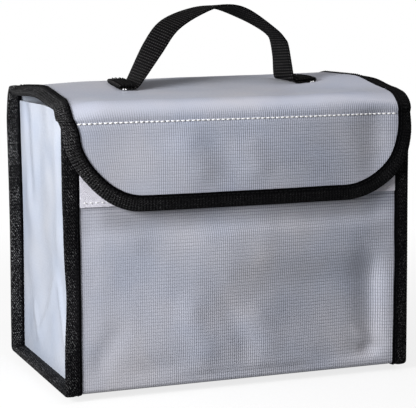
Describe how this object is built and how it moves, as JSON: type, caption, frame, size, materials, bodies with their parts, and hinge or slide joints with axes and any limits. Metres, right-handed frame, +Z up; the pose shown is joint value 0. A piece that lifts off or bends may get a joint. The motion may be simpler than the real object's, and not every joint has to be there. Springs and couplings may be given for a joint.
{
  "type": "battery safety bag",
  "caption": "Soft box-shaped safety bag for rechargeable packs, with taped seams, hinged lid, hook-and-loop front flap and webbing handle.",
  "frame": {"origin": "centre of the base, on the plane the bag stands on", "axes": "+Z up out of the lid, the flap faces -Y, +X to the right seen from the flap"},
  "size_m": [0.22, 0.137, 0.2232],
  "materials": {
    "shell_cloth": "satin silver-grey coated glass cloth",
    "side_cloth": "satin pale silver coated glass cloth",
    "lining_cloth": "matt pale grey glass cloth",
    "binding_tape": "matt black woven tape",
    "hook_loop": "white hook-and-loop tape",
    "webbing": "black ribbed webbing",
    "white_thread": "white sewing thread",
    "black_thread": "black sewing thread"
  },
  "bodies": {
    "bag": {"front_panel": "shell_cloth", "bottom_panel": "shell_cloth", "back_panel": "shell_cloth", "left_side_panel": "side_cloth", "right_side_panel": "side_cloth", "front_lining": "lining_cloth", "bottom_lining": "lining_cloth", "back_lining": "lining_cloth", "left_side_lining": "lining_cloth", "right_side_lining": "lining_cloth", "left_side_binding": "binding_tape", "right_side_binding": "binding_tape", "left_side_stitching": "black_thread", "right_side_stitching": "black_thread", "loop_strip": "hook_loop", "loop_strip_stitching": "white_thread"},
    "lid": {"lid_panel": "shell_cloth", "lid_lining": "lining_cloth", "left_lid_binding": "binding_tape", "right_lid_binding": "binding_tape", "left_lid_stitching": "black_thread", "right_lid_stitching": "black_thread", "left_handle_tab": "webbing", "right_handle_tab": "webbing", "left_tab_stitching": "black_thread", "right_tab_stitching": "black_thread"},
    "flap": {"flap_panel": "shell_cloth", "flap_lining": "lining_cloth", "flap_binding": "binding_tape", "flap_binding_stitching": "black_thread", "hook_strip": "hook_loop", "hook_strip_stitching": "white_thread"},
    "handle": {"handle_strap": "webbing"}
  },
  "joints": [
    {"name": "lid_hinge", "type": "hinge", "parent": "bag", "child": "lid", "pos_m": [0, 0.06248, 0.16948], "axis": [-1, 0, 0], "range_deg": [0, 175]},
    {"name": "flap_hinge", "type": "hinge", "parent": "lid", "child": "flap", "pos_m": [0, -0.06679, 0.16919], "axis": [-1, 0, 0], "range_deg": [0, 175]},
    {"name": "handle_lean", "type": "hinge", "parent": "lid", "child": "handle", "pos_m": [0, 0, 0.1812], "axis": [1, 0, 0], "range_deg": [-60, 60]}
  ]
}
